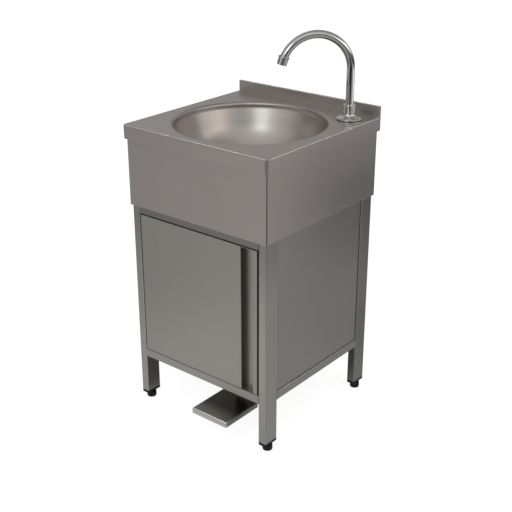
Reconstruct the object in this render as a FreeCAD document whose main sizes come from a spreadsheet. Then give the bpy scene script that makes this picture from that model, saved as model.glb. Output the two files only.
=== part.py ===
import FreeCAD, Part
import math
import os

import Sketcher
from FreeCAD import Placement, Rotation, Vector

# Foot-pedal hand wash sink on a leg-framed cabinet, millimetres.
# X to the right, Y to the back, Z up; the floor is z = 0 and the origin is the
# middle of the whole object's footprint, so the worktop's front edge is at
# y = -225 and the pedal reaches y = -275.

os.makedirs("parts", exist_ok=True)
doc = FreeCAD.newDocument("HandWashSink")

# ---------------------------------------------------------------- dimensions
DIMENSIONS = [
    # worktop
    ("width", 500.0, "worktop width"),
    ("front_y", -225.0, "front face of the worktop lip"),
    ("back_y", 275.0, "back face of the worktop"),
    ("deck_z", 850.0, "deck height"),
    ("sheet", 1.5, "worktop sheet"),
    ("lip", 38.0, "lip height"),
    ("corner", 12.0, "front corner radius"),
    ("upstand", 31.0, "upstand height"),
    ("upstand_thick", 8.0, "upstand thickness"),
    ("tap_x", 193.0, "spout stem"),
    ("tap_y", 204.0, "spout stem"),
    ("tap_hole", 12.5, "tap hole radius"),
    # bowl
    ("bowl_y", 15.0, "bowl centre"),
    ("rim", 217.0, "bowl rim radius"),
    ("shoulder", 8.0, "bowl shoulder radius"),
    ("bowl_thick", 1.2, "bowl sheet"),
    ("bowl_floor", 668.0, "flat seat of the waste"),
    ("waste_hole", 25.0, "waste hole radius"),
    # apron
    ("apron_in", 8.5, "apron set back from the lip"),
    ("apron_z", 621.0, "apron lower edge"),
    ("apron_thick", 1.2, "apron sheet"),
    ("hem", 11.0, "apron hem height"),
    ("joint", 1.4, "open corner joint of the apron"),
    # frame
    ("leg_in", 13.5, "legs set back from the lip"),
    ("leg_back", 5.0, "rear legs set in from the back"),
    ("leg_wide", 25.0, "leg, narrow side"),
    ("leg_deep", 50.0, "leg, wide side"),
    ("leg_wall", 1.5, "leg wall"),
    ("leg_foot", 30.0, "lower end of the steel legs"),
    ("leg_top", 845.0, "upper end of the legs"),
    ("rail", 25.0, "rail section"),
    ("rail_z", 150.0, "underside of the bottom rails"),
    ("header_z", 601.0, "underside of the rail above the door"),
    ("header_high", 40.0, "height of the rail above the door"),
    ("panel_thick", 1.2, "panel sheet"),
    ("panel_in", 2.0, "side panels set in from the legs"),
    ("panel_gap", 1.6, "shadow gap beside the panels"),
    ("panel_deep", 15.0, "return of the side panels"),
    # door
    ("door_left", -208.5, "door left edge"),
    ("door_right", 206.5, "door right edge"),
    ("door_low", 176.2, "door bottom"),
    ("door_high", 598.0, "door top"),
    ("door_deep", 21.0, "door skin depth"),
    ("grip_left", 152.0, "grip channel mouth, left"),
    ("grip_right", 192.5, "grip channel mouth, right"),
    ("grip_under", 16.0, "undercut behind the panel edge"),
    ("grip_deep", 18.5, "grip channel depth"),
    ("pivot_in", 11.0, "door pivot in from the edge"),
    ("pivot_deep", 6.0, "door pivot behind the front face"),
    ("pin_radius", 3.0, "door pin radius"),
    # pedal and valve
    ("pedal_x", 87.0, "pedal centre"),
    ("pedal_wide", 126.0, "pedal width"),
    ("pedal_front", -275.0, "pedal front edge"),
    ("pedal_back", -138.0, "pedal rear edge"),
    ("pedal_top", 96.0, "pedal tread height"),
    ("pedal_thick", 2.0, "pedal plate"),
    ("pedal_skirt", 15.0, "pedal skirt height"),
    ("rock_y", -110.0, "pedal pin"),
    ("rock_z", 84.0, "pedal pin"),
    ("rock_radius", 6.0, "pedal pin radius"),
    ("arm_wide", 30.0, "pedal arm width"),
    ("arm_thick", 10.0, "pedal arm thickness"),
    ("valve_y", -50.0, "valve axis"),
    ("valve_low", 124.0, "valve body lower face"),
    ("valve_radius", 17.0, "valve body radius"),
    ("plunger_radius", 5.0, "plunger radius"),
    ("inlet_z", 136.0, "inlet pipe height"),
    ("thread_radius", 10.478, "half-inch pipe thread outer radius"),
    # spout
    ("tube_radius", 11.0, "spout tube radius"),
    ("tube_bore", 9.5, "spout tube bore radius"),
    ("arch_radius", 95.0, "spout arch radius"),
    ("arch_z", 988.0, "height of the arch centre"),
    ("arch_turn", 163.0, "arch angle, degrees"),
    ("spout_tail", 2.0, "straight end of the spout"),
    ("arch_heading", -131.0, "heading of the arch, degrees from +X"),
    ("base_radius", 35.5, "spout base radius"),
    # waste
    ("trap_z", 560.0, "waste pipe height"),
    ("waste_radius", 20.0, "waste pipe radius"),
    # running fits
    ("run", 0.05, "radial running clearance"),
]

sheet = doc.addObject("Spreadsheet::Sheet", "Dims")
for n, (alias, value, note) in enumerate(DIMENSIONS, start=1):
    sheet.set("A%d" % n, alias)
    sheet.set("B%d" % n, repr(value))
    sheet.set("C%d" % n, note)
    sheet.setAlias("B%d" % n, alias)
doc.recompute()


class Q:
    """A size: its number, and the sheet expression it comes from."""

    def __init__(self, value, text):
        self.value = float(value)
        self.text = text

    @staticmethod
    def of(other):
        return other if isinstance(other, Q) else Q(other, repr(float(other)))

    def __add__(self, other):
        o = Q.of(other)
        return Q(self.value + o.value, "(%s + %s)" % (self.text, o.text))

    def __radd__(self, other):
        return Q.of(other) + self

    def __sub__(self, other):
        o = Q.of(other)
        return Q(self.value - o.value, "(%s - %s)" % (self.text, o.text))

    def __rsub__(self, other):
        return Q.of(other) - self

    def __mul__(self, other):
        o = Q.of(other)
        return Q(self.value * o.value, "(%s * %s)" % (self.text, o.text))

    def __rmul__(self, other):
        return Q.of(other) * self

    def __truediv__(self, other):
        o = Q.of(other)
        return Q(self.value / o.value, "(%s / %s)" % (self.text, o.text))

    def __neg__(self):
        return Q(-self.value, "(0 - %s)" % self.text)


class Sizes:
    pass


q = Sizes()
for alias, value, note in DIMENSIONS:
    setattr(q, alias, Q(value, "Dims." + alias))


def num(x):
    return x.value if isinstance(x, Q) else float(x)


def bind(obj, prop, size):
    """Give a property its size, driven from the sheet where it has an expression."""
    if isinstance(size, Q) and "Dims." in size.text:
        obj.setExpression(prop, size.text)
        return True
    return False


def set_length(obj, prop, size):
    setattr(obj, prop, num(size))
    bind(obj, prop, size)


NODES = {}


def node(obj, label):
    obj.Label = label
    NODES[label] = obj
    return obj


PLANES = {"XY": "XY_Plane", "XZ": "XZ_Plane", "YZ": "YZ_Plane"}


class Solid:
    """A PartDesign body built from padded and pocketed sketches.

    Sketch coordinates are (X, Y) on XY, (X, Z) on XZ and (Y, Z) on YZ. Material
    is added or cut between two coordinates along the plane's own axis.
    """

    def __init__(self, label, part=True):
        self.body = doc.addObject("PartDesign::Body", label)
        self.body.Label = label
        self.count = 0
        if part:
            node(self.body, label)

    def _name(self, kind):
        self.count += 1
        return "%s_%s_%d" % (self.body.Name, kind, self.count)

    def sketch(self, plane, at, shapes):
        sk = self.body.newObject("Sketcher::SketchObject", self._name("Sketch"))
        home = [f for f in self.body.Origin.OriginFeatures if f.Role == PLANES[plane]][0]
        sk.AttachmentSupport = [(home, "")]
        sk.MapMode = "FlatFace"
        depth = -at if plane == "XZ" else at
        sk.AttachmentOffset = Placement(Vector(0, 0, num(depth)), Rotation())
        if isinstance(depth, Q):
            bind(sk, "AttachmentOffset.Base.z", depth)
        for shape in shapes:
            getattr(self, "_" + shape[0])(sk, *shape[1:])
        return sk

    def _fix(self, sk, geo, pos, x, y):
        for kind, value in (("DistanceX", x), ("DistanceY", y)):
            i = sk.addConstraint(Sketcher.Constraint(kind, -1, 1, geo, pos, num(value)))
            if isinstance(value, Q) and "Dims." in value.text:
                tag = "%s_%d" % (kind, i)
                sk.renameConstraint(i, tag)
                sk.setExpression("Constraints." + tag, value.text)

    def _poly(self, sk, points):
        first = sk.GeometryCount
        n = len(points)
        for i in range(n):
            (x0, y0), (x1, y1) = points[i], points[(i + 1) % n]
            sk.addGeometry(
                Part.LineSegment(Vector(num(x0), num(y0), 0), Vector(num(x1), num(y1), 0)), False
            )
        for i in range(n):
            sk.addConstraint(
                Sketcher.Constraint("Coincident", first + i, 2, first + (i + 1) % n, 1)
            )
            self._fix(sk, first + i, 1, *points[i])

    def _rect(self, sk, x0, x1, y0, y1):
        self._poly(sk, [(x0, y0), (x1, y0), (x1, y1), (x0, y1)])

    def _circle(self, sk, x, y, r):
        g = sk.addGeometry(
            Part.Circle(Vector(num(x), num(y), 0), Vector(0, 0, 1), num(r)), False
        )
        self._fix(sk, g, 3, x, y)
        i = sk.addConstraint(Sketcher.Constraint("Radius", g, num(r)))
        if isinstance(r, Q) and "Dims." in r.text:
            sk.renameConstraint(i, "Radius_%d" % i)
            sk.setExpression("Constraints.Radius_%d" % i, r.text)

    def _path(self, sk, pieces):
        """A closed outline of lines (p, q) and arcs (p, middle, q), in order."""
        first = sk.GeometryCount
        for piece in pieces:
            pts = [Vector(num(x), num(y), 0) for x, y in piece]
            if len(pts) == 2:
                sk.addGeometry(Part.LineSegment(pts[0], pts[1]), False)
            else:
                sk.addGeometry(Part.Arc(pts[0], pts[1], pts[2]), False)

    def add(self, plane, shapes, low, high):
        at = high if plane == "XZ" else low
        sk = self.sketch(plane, at, shapes)
        pad = self.body.newObject("PartDesign::Pad", self._name("Pad"))
        pad.Profile = sk
        set_length(pad, "Length", Q.of(high) - Q.of(low))
        doc.recompute()
        return pad

    def cut(self, plane, shapes, low, high):
        before = self.body.Shape.Volume
        at = low if plane == "XZ" else high
        sk = self.sketch(plane, at, shapes)
        pocket = self.body.newObject("PartDesign::Pocket", self._name("Pocket"))
        pocket.Profile = sk
        set_length(pocket, "Length", Q.of(high) - Q.of(low))
        doc.recompute()
        if not self.body.Shape.Volume < before - 1e-6:
            raise RuntimeError("%s: a pocket cut nothing" % self.body.Label)
        return pocket

    def turn(self, pieces):
        """Revolve a closed (radius, z) outline about the Z axis."""
        sk = self.sketch("XZ", Q.of(0.0), [("path", pieces)])
        rev = self.body.newObject("PartDesign::Revolution", self._name("Revolution"))
        rev.Profile = sk
        rev.ReferenceAxis = (sk, ["V_Axis"])
        rev.Angle = 360.0
        doc.recompute()
        return rev

    def _dress(self, kind, prop, size, test):
        shape = self.body.Shape
        names = ["Edge%d" % (i + 1) for i, e in enumerate(shape.Edges) if test(e)]
        if not names:
            raise RuntimeError("%s: no edge to dress" % self.body.Label)
        base = self.body.Tip
        f = self.body.newObject("PartDesign::" + kind, self._name(kind))
        f.Base = (base, names)
        set_length(f, prop, size)
        doc.recompute()
        return f

    def fillet(self, size, test):
        return self._dress("Fillet", "Radius", size, test)

    def chamfer(self, size, test):
        return self._dress("Chamfer", "Size", size, test)

    def place(self, x=0.0, y=0.0, z=0.0):
        self.body.Placement = Placement(Vector(num(x), num(y), num(z)), Rotation())
        for axis, value in (("x", x), ("y", y), ("z", z)):
            bind(self.body, "Placement.Base." + axis, value)
        return self


def mid(edge):
    return edge.valueAt((edge.FirstParameter + edge.LastParameter) / 2)


def runs(edge, axis):
    if edge.Curve.TypeId != "Part::GeomLine":
        return False
    a, b = edge.Vertexes[0].Point, edge.Vertexes[-1].Point
    v = b - a
    if v.Length < 1e-6:
        return False
    v = v / v.Length
    return abs(getattr(v, axis)) > 0.999


def near(a, b, tol=0.01):
    return abs(a - num(b)) < tol


def block(name, x0, x1, y0, y1, z0, z1):
    o = doc.addObject("Part::Box", name)
    for prop, low, high in (("Length", x0, x1), ("Width", y0, y1), ("Height", z0, z1)):
        set_length(o, prop, Q.of(high) - Q.of(low))
    o.Placement = Placement(Vector(num(x0), num(y0), num(z0)), Rotation())
    for axis, value in (("x", x0), ("y", y0), ("z", z0)):
        bind(o, "Placement.Base." + axis, value)
    return o


TURNS = {
    "Z": Rotation(),
    "X": Rotation(Vector(0, 1, 0), 90),
    "Y": Rotation(Vector(1, 0, 0), -90),
}


def rod(name, x, y, z, radius, length, axis="Z"):
    """A cylinder from (x, y, z) along +axis."""
    o = doc.addObject("Part::Cylinder", name)
    set_length(o, "Radius", Q.of(radius))
    set_length(o, "Height", Q.of(length))
    o.Placement = Placement(Vector(num(x), num(y), num(z)), TURNS[axis])
    for a, value in (("x", x), ("y", y), ("z", z)):
        bind(o, "Placement.Base." + a, value)
    return o


def hexagon(name, x, y, z, across, length, axis="Z"):
    """A hexagonal prism, across flats, from (x, y, z) along +axis."""
    o = doc.addObject("Part::Prism", name)
    o.Polygon = 6
    set_length(o, "Circumradius", Q.of(across) / math.sqrt(3.0))
    set_length(o, "Height", Q.of(length))
    o.Placement = Placement(Vector(num(x), num(y), num(z)), TURNS[axis])
    for a, value in (("x", x), ("y", y), ("z", z)):
        bind(o, "Placement.Base." + a, value)
    return o


def fuse(name, *objs):
    o = doc.addObject("Part::MultiFuse", name)
    o.Shapes = list(objs)
    o.Refine = True
    return o


def cut(name, base, *tools):
    tool = tools[0]
    if len(tools) > 1:
        tool = doc.addObject("Part::MultiFuse", name + "_tools")
        tool.Shapes = list(tools)
    o = doc.addObject("Part::Cut", name)
    o.Base = base
    o.Tool = tool
    o.Refine = True
    return o


def group(label, *objs):
    o = doc.addObject("Part::Compound", label)
    o.Links = list(objs)
    return node(o, label)


# Main planes
half = q.width / 2
leg_x = half - q.leg_in                 # outer face of the legs
leg_xi = leg_x - q.leg_wide             # inner face of the legs
leg_yf = q.front_y + q.leg_in           # front face of the front legs
leg_yfi = leg_yf + q.leg_deep
leg_yb = q.back_y - q.leg_back          # back face of the rear legs
leg_ybi = leg_yb - q.leg_deep
under = q.deck_z - q.sheet              # underside of the deck
lip_z = q.deck_z - q.lip
ap_x = half - q.apron_in                # outer face of the side aprons
ap_y = q.front_y + q.apron_in           # outer face of the front apron

# ------------------------------------------------------------------ worktop
w = Solid("worktop")
w.add("XY", [("rect", -half, half, q.front_y, q.back_y)], lip_z, q.deck_z)
w.fillet(q.corner, lambda e: runs(e, "z") and mid(e).y < -220)
w.add("XY", [("rect", -half, half, q.back_y - q.upstand_thick, q.back_y)],
      q.deck_z, q.deck_z + q.upstand)
# hollow from below: the inside of the lips, then the inside of the upstand
hx, hy0, hy1 = num(half - q.sheet), num(q.front_y + q.sheet), num(q.back_y - q.sheet)
hr = num(q.corner - q.sheet)
hk = hr * (1 - math.sqrt(0.5))
w.cut("XY", [("path", [
    ((-hx + hr, hy0), (hx - hr, hy0)),
    ((hx - hr, hy0), (hx - hk, hy0 + hk), (hx, hy0 + hr)),
    ((hx, hy0 + hr), (hx, hy1)),
    ((hx, hy1), (-hx, hy1)),
    ((-hx, hy1), (-hx, hy0 + hr)),
    ((-hx, hy0 + hr), (-hx + hk, hy0 + hk), (-hx + hr, hy0)),
])], lip_z, under)
w.cut("XY", [("rect", -half + q.sheet, half - q.sheet,
              q.back_y - q.upstand_thick + q.sheet, q.back_y - q.sheet)],
      lip_z, q.deck_z + q.upstand - q.sheet)
w.cut("XY", [("circle", 0.0, q.bowl_y, q.rim)], lip_z, q.deck_z)
w.cut("XY", [("circle", q.tap_x, q.tap_y, q.tap_hole)], lip_z, q.deck_z)
# folded edges have a small outer radius
w.fillet(2.2, lambda e: (
    (near(mid(e).z, q.deck_z) and (near(mid(e).y, q.front_y) or near(abs(mid(e).x), half))
     and mid(e).y < num(q.back_y) - 9)
    or (near(mid(e).z, q.deck_z) and mid(e).y < -215 and abs(mid(e).x) > 240)
))
w.fillet(1.2, lambda e: near(mid(e).z, q.deck_z + q.upstand) and runs(e, "x"))

# --------------------------------------------------------------------- bowl
# Spun bowl. The outline is worked out once for the inner surface and once for
# the outer one, a sheet's thickness away.
def bowl_outline():
    R, s, t = num(q.rim), num(q.shoulder), num(q.bowl_thick)
    top, seat = num(q.deck_z), num(q.bowl_floor)
    rho = 172.0                      # big radius between wall and bottom
    lean = math.radians(18.0)        # the wall leans in
    neck, turn_in = 4.0, 20.0        # upright band under the shoulder, and the bend below it
    slope = math.radians(5.0)        # the bottom falls to the waste
    r_seat, step = 38.0, 3.5         # recess of the waste
    # the shoulder turns down by 90 degrees, and the wall leans in below the upright band
    cs = Vector(R, top - s, 0)

    def chain(off):
        # off = 0 for the visible side, t for the underside
        rs = s - off
        p0 = Vector(R, top - off, 0)
        p1m = cs + Vector(math.cos(math.radians(135) ), math.sin(math.radians(135)), 0) * rs
        p1 = cs + Vector(-rs, 0, 0)
        v1 = p1 + Vector(0, -neck, 0)
        cv = cs + Vector(-s - turn_in, -neck, 0)
        rv = turn_in + off
        w0 = cv + Vector(math.cos(lean / 2), -math.sin(lean / 2), 0) * rv
        w1 = cv + Vector(math.cos(lean), -math.sin(lean), 0) * rv
        # wall line direction (downwards, leaning in)
        wd = Vector(-math.sin(lean), -math.cos(lean), 0)
        # bottom line: passes (r_seat, seat + step) with the slope, offset by off
        bd = Vector(math.cos(slope), math.sin(slope), 0)
        bn = Vector(math.sin(slope), -math.cos(slope), 0)
        b0 = Vector(r_seat, seat + step, 0) + bn * off
        # centre of the big arc: rho from the wall line (inner side) and from the bottom
        rr = rho + off
        wn = Vector(-math.cos(lean), math.sin(lean), 0)     # from the wall to the inside
        # wall line through w1: (c - w1).wn = rr ; bottom: (c - b0).(-bn) = rr
        a1, b1, c1 = wn.x, wn.y, rr + w1.dot(wn)
        a2, b2, c2 = -bn.x, -bn.y, rr + b0.dot(bn * -1)
        det = a1 * b2 - a2 * b1
        c = Vector((c1 * b2 - c2 * b1) / det, (a1 * c2 - a2 * c1) / det, 0)
        t1 = c - wn * rr
        t2 = c + bn * rr
        bis = (t1 - c) + (t2 - c)
        m = c + bis * (rr / bis.Length)
        return dict(rim=p0, bend=p1m, upright=p1, low=v1, turn=w0, wall=w1, arc=t1, mid=m, floor=t2, seat=b0)

    return chain(0.0), chain(t), r_seat, seat, step, t, slope


inner, outer, r_seat, seat, step, t, slope = bowl_outline()


def xy(v):
    return (v.x, v.y)


# the recess: a small step down to the flat seat of the waste
in_a = inner["seat"]
in_b = Vector(r_seat - 3.0, seat, 0)
hole = num(q.waste_hole)
out_b = Vector(in_b.x + 0.35, seat - t, 0)
out_a = Vector(in_a.x + 0.9, outer["seat"].y + (in_a.x + 0.9 - outer["seat"].x) * math.tan(slope), 0)
bowl = Solid("basin_bowl")
bowl.turn([
    (xy(inner["rim"]), xy(inner["bend"]), xy(inner["upright"])),
    (xy(inner["upright"]), xy(inner["low"])),
    (xy(inner["low"]), xy(inner["turn"]), xy(inner["wall"])),
    (xy(inner["wall"]), xy(inner["arc"])),
    (xy(inner["arc"]), xy(inner["mid"]), xy(inner["floor"])),
    (xy(inner["floor"]), xy(in_a)),
    (xy(in_a), xy(in_b)),
    (xy(in_b), (hole, seat)),
    ((hole, seat), (hole, seat - t)),
    ((hole, seat - t), xy(out_b)),
    (xy(out_b), xy(out_a)),
    (xy(out_a), xy(outer["floor"])),
    (xy(outer["floor"]), xy(outer["mid"]), xy(outer["arc"])),
    (xy(outer["arc"]), xy(outer["wall"])),
    (xy(outer["wall"]), xy(outer["turn"]), xy(outer["low"])),
    (xy(outer["low"]), xy(outer["upright"])),
    (xy(outer["upright"]), xy(outer["bend"]), xy(outer["rim"])),
    (xy(outer["rim"]), xy(inner["rim"])),
])
print("bowl inside", [xy(inner[k]) for k in ("upright", "low", "wall", "arc", "floor", "seat")])
bowl.place(0.0, q.bowl_y, 0.0)

# -------------------------------------------------------------------- apron
# Four sheets. The visible three are folded up inside along the lower edge, which
# gives them a round edge twice as deep as the sheet. They are mitred at the front
# corners and stop short of each other, which leaves an open joint there.
def apron(label, plane, out, into, low, high, mitres):
    """out is the outer face's coordinate, into is +1 or -1 towards the inside."""
    s = Solid(label)
    z, t, r = num(q.apron_z), num(q.apron_thick), num(q.apron_thick) * 2
    o = num(out)

    def at(depth, height):
        return (o + into * depth, height)

    s.add(plane, [("path", [
        (at(0, num(under)), at(0, z + r)),
        (at(0, z + r), at(r, z), at(2 * r, z + r)),
        (at(2 * r, z + r), at(2 * r, z + num(q.hem))),
        (at(2 * r, z + num(q.hem)), at(2 * r - t, z + num(q.hem))),
        (at(2 * r - t, z + num(q.hem)), at(2 * r - t, z + r)),
        (at(2 * r - t, z + r), at(r, z + t), at(t, z + r)),
        (at(t, z + r), at(t, num(under))),
        (at(t, num(under)), at(0, num(under))),
    ])], low, high)
    s.cut("XY", [("poly", m) for m in mitres], q.apron_z, under)
    return s


side_y = ap_y + q.joint + 0.4
front_x = ap_x - q.joint
apron("apron_front", "YZ", ap_y, 1, -front_x, front_x, [
    [(front_x, ap_y), (front_x, ap_y + 7.0), (front_x - 7.0, ap_y + 7.0)],
    [(-front_x, ap_y), (-front_x + 7.0, ap_y + 7.0), (-front_x, ap_y + 7.0)]])
apron("apron_right", "XZ", ap_x, -1, side_y, q.back_y - q.sheet - 0.5, [
    [(ap_x, side_y), (ap_x - 7.0, side_y + 7.0), (ap_x - 7.0, side_y)]])
apron("apron_left", "XZ", -ap_x, 1, side_y, q.back_y - q.sheet - 0.5, [
    [(-ap_x, side_y), (-ap_x + 7.0, side_y), (-ap_x + 7.0, side_y + 7.0)]])
back = Solid("apron_back")
back.add("XZ", [("rect", -ap_x + q.apron_thick * 4 + 0.4, ap_x - q.apron_thick * 4 - 0.4, q.apron_z, under)],
         leg_yb + 1.0, leg_yb + 1.0 + q.apron_thick)

# --------------------------------------------------------------------- legs
def leg(label, x, y):
    s = Solid(label)
    s.add("XY", [("rect", 0.0, q.leg_wide, 0.0, q.leg_deep)], 0.0, q.leg_top - q.leg_foot)
    s.fillet(2.5, lambda e: runs(e, "z"))
    s.cut("XY", [("rect", q.leg_wall, q.leg_wide - q.leg_wall, q.leg_wall, q.leg_deep - q.leg_wall)],
          0.0, q.leg_top - q.leg_foot)
    s.place(x, y, q.leg_foot)
    return s


LEGS = {
    "front_left": (-leg_x, leg_yf),
    "front_right": (leg_xi, leg_yf),
    "rear_left": (-leg_x, leg_ybi),
    "rear_right": (leg_xi, leg_ybi),
}
for where, (x, y) in LEGS.items():
    leg("leg_" + where, x, y)

# Plastic caps in the legs' ends, with a bore for the foot's stud
caps = []
for where, (x, y) in LEGS.items():
    c = Solid("cap_" + where, part=False)
    c.add("XY", [("rect", 0.0, q.leg_wide, 0.0, q.leg_deep)], 0.0, 9.0)
    c.fillet(2.5, lambda e: runs(e, "z"))
    c.fillet(1.2, lambda e: near(mid(e).z, 0.0))
    c.add("XY", [("rect", q.leg_wall, q.leg_wide - q.leg_wall, q.leg_wall, q.leg_deep - q.leg_wall)],
          9.0, 30.0)
    c.cut("XY", [("circle", q.leg_wide / 2, q.leg_deep / 2, 5.0 + q.run)], 0.0, 30.0)
    c.place(x, y, q.leg_foot - 9.0)
    caps.append(c.body)
group("leg_caps", *caps)

# Levelling feet: a round pad, a neck and a stud
for where, (x, y) in LEGS.items():
    f = Solid("foot_" + where)
    f.add("XY", [("circle", 0.0, 0.0, 14.0)], 0.0, 16.5)
    f.chamfer(1.6, lambda e: near(mid(e).z, 16.5))
    f.fillet(3.0, lambda e: near(mid(e).z, 0.0))
    f.add("XY", [("circle", 0.0, 0.0, 8.0)], 16.5, 20.4)
    f.add("XY", [("circle", 0.0, 0.0, 5.0)], 20.4, 49.0)
    f.place(x + q.leg_wide / 2, y + q.leg_deep / 2, 0.0)

# -------------------------------------------------------------------- rails
def rail(label, plane, u0, u1, z0, z1, low, high):
    """A hollow rail along the plane's axis."""
    s = Solid(label)
    s.add(plane, [("rect", u0, u1, z0, z1)], low, high)
    along = "x" if plane == "YZ" else "y"
    s.fillet(2.0, lambda e: runs(e, along))
    s.cut(plane, [("rect", u0 + q.leg_wall, u1 - q.leg_wall, z0 + q.leg_wall, z1 - q.leg_wall)],
          low, high)
    return s


rail_top = q.rail_z + q.rail
head = rail("rail_front_top", "YZ", leg_yf, leg_yf + q.rail, q.header_z, q.header_z + q.header_high,
            -leg_xi, leg_xi)
sill = rail("rail_front_bottom", "YZ", leg_yf, leg_yf + q.rail, q.rail_z, rail_top, -leg_xi, leg_xi)
rail("rail_rear_bottom", "YZ", leg_yb - q.rail, leg_yb, q.rail_z, rail_top, -leg_xi, leg_xi)
rail("rail_right_bottom", "XZ", leg_xi, leg_x, q.rail_z, rail_top, leg_yfi, leg_ybi)
rail("rail_left_bottom", "XZ", -leg_x, -leg_xi, q.rail_z, rail_top, leg_yfi, leg_ybi)

# Holes for the door's fixed pins
pivot_x = q.door_left + q.pivot_in
pivot_y = leg_yf + q.pivot_deep
head.cut("XY", [("circle", pivot_x, pivot_y, q.pin_radius)], q.header_z, q.header_z + 10)
sill.cut("XY", [("circle", pivot_x, pivot_y, q.pin_radius)], rail_top - 10, rail_top)

# ------------------------------------------------------------------- panels
def side_panel(label, sign):
    s = Solid(label)
    out, ins = leg_x - q.panel_in, leg_x - q.panel_in - q.panel_deep
    y0, y1 = leg_yfi + q.panel_gap, leg_ybi - q.panel_gap
    z0, z1 = rail_top + 1.2, Q.of(700.0)
    x0, x1 = (ins, out) if sign > 0 else (-out, -ins)
    s.add("YZ", [("rect", y0, y1, z0, z1)], x0, x1)
    s.fillet(3.0, lambda e: near(abs(mid(e).x), out) and (runs(e, "z") or runs(e, "y")))
    t = q.panel_thick
    lo, hi = (x0, x1 - t) if sign > 0 else (x0 + t, x1)
    s.cut("YZ", [("rect", y0 + t, y1 - t, z0 + t, z1 - t)], lo, hi)
    return s


side_panel("side_panel_right", 1)
side_panel("side_panel_left", -1)

floor_top = rail_top + q.panel_thick
back_y0 = leg_ybi - q.panel_thick
bp = Solid("back_panel")
bp.add("XZ", [("rect", -219.0, 219.0, floor_top, 640.0)], back_y0, leg_ybi)
bp.cut("XZ", [("rect", -95.0, 95.0, 490.0, 612.0)], back_y0, leg_ybi)
RIVETS = [(s * 215.0, z) for s in (-1, 1) for z in (215.0, 400.0, 600.0)]
bp.cut("XZ", [("circle", x, z, 2.0) for x, z in RIVETS], back_y0, leg_ybi)

BOLTS = [(q.pedal_x + sx * 34.0, Q.of(y)) for sx in (-1, 1) for y in (-122.0, -38.0)]
fl = Solid("cabinet_floor")
fl.add("XY", [("poly", [
    (-leg_xi + 0.3, -188.0), (leg_xi - 0.3, -188.0), (leg_xi - 0.3, leg_yfi + 0.5),
    (Q.of(218.0), leg_yfi + 0.5), (Q.of(218.0), leg_ybi - 0.5), (leg_xi - 0.3, leg_ybi - 0.5),
    (leg_xi - 0.3, leg_yb - 5), (-leg_xi + 0.3, leg_yb - 5), (-leg_xi + 0.3, leg_ybi - 0.5),
    (Q.of(-218.0), leg_ybi - 0.5), (Q.of(-218.0), leg_yfi + 0.5), (-leg_xi + 0.3, leg_yfi + 0.5),
])], rail_top, floor_top)
fl.cut("XY", [("circle", q.pedal_x, q.valve_y, 10.6)] + [("circle", x, y, 3.05) for x, y in BOLTS],
       rail_top, floor_top)

# Pop rivets that hold the back panel to the rear legs
group("panel_rivets", *[
    fuse("rivet_%d" % i,
         rod("rivet_head_%d" % i, x, back_y0 - 2.0, z, 4.0, 2.0, "Y"),
         rod("rivet_body_%d" % i, x, back_y0, z, 2.0, q.panel_thick, "Y"))
    for i, (x, z) in enumerate(RIVETS)])

# --------------------------------------------------------------------- door
# The skin is a deep pan. A full-height grip channel is folded into it near the
# free edge; its left wall is undercut, so fingers hook behind the panel.
dt = q.panel_thick
door_yb = leg_yf + q.door_deep
z_lo, z_hi = q.door_low + dt, q.door_high - dt
grip_y = leg_yf + q.grip_deep
skin = Solid("door_skin")
skin.add("XY", [("rect", q.door_left, q.door_right, leg_yf, door_yb)], q.door_low, q.door_high)
skin.fillet(1.5, lambda e: near(mid(e).y, leg_yf) and (
    (runs(e, "z") and (near(mid(e).x, q.door_left) or near(mid(e).x, q.door_right))) or runs(e, "x")))
skin.cut("XY", [("poly", [
    (q.grip_left, leg_yf - 1), (q.grip_right, leg_yf - 1), (q.grip_right, grip_y),
    (q.grip_left - q.grip_under, grip_y), (q.grip_left - q.grip_under * 0.2, leg_yf + 3.0),
    (q.grip_left, leg_yf + 3.0)])], z_lo, z_hi)
skin.cut("XY", [("poly", [
    (q.door_left + dt, leg_yf + dt), (q.grip_left - q.grip_under * 0.2 - 2.2, leg_yf + dt),
    (q.grip_left - q.grip_under - 4.0, door_yb), (q.door_left + dt, door_yb)])], z_lo, z_hi)
skin.cut("XY", [("rect", q.grip_right + dt, q.door_right - dt, leg_yf + dt, door_yb)], z_lo, z_hi)
skin.fillet(0.9, lambda e: runs(e, "z") and near(mid(e).y, leg_yf) and
            (near(mid(e).x, q.grip_left) or near(mid(e).x, q.grip_right)))
# bush holes in the top and bottom returns
skin.cut("XY", [("circle", pivot_x, pivot_y, 4.6)], q.door_low, z_lo)
skin.cut("XY", [("circle", pivot_x, pivot_y, 4.6)], z_hi, q.door_high)

dp = Solid("door_back_panel")
dp.add("XZ", [("rect", q.door_left + 1.0, q.door_right - 1.0, q.door_low + 1.0, q.door_high - 1.0)],
       door_yb, door_yb + dt)


def bush(name, z0, sign):
    """Nylon bush: a sleeve in the door's return and a flange outside it."""
    z1 = z0 + sign * 12.0
    sleeve = rod(name + "_sleeve", pivot_x, pivot_y, z0 if sign > 0 else z1, 4.6, 12.0)
    zf = z0 - sign * 0.8
    flange = rod(name + "_flange", pivot_x, pivot_y, zf if sign > 0 else z0, 5.6, 0.8)
    hole = rod(name + "_hole", pivot_x, pivot_y, (zf if sign > 0 else z1) - 1.0,
               q.pin_radius + q.run, 16.0)
    return cut(name, fuse(name + "_outer", sleeve, flange), hole)


group("hinge_bushes", bush("bush_low", q.door_low, 1), bush("bush_high", q.door_high, -1))
group("hinge_pins",
      rod("pin_low", pivot_x, pivot_y, rail_top - q.leg_wall, q.pin_radius, 15.0),
      rod("pin_high", pivot_x, pivot_y, q.header_z + q.leg_wall - 15.0, q.pin_radius, 15.0))

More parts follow.
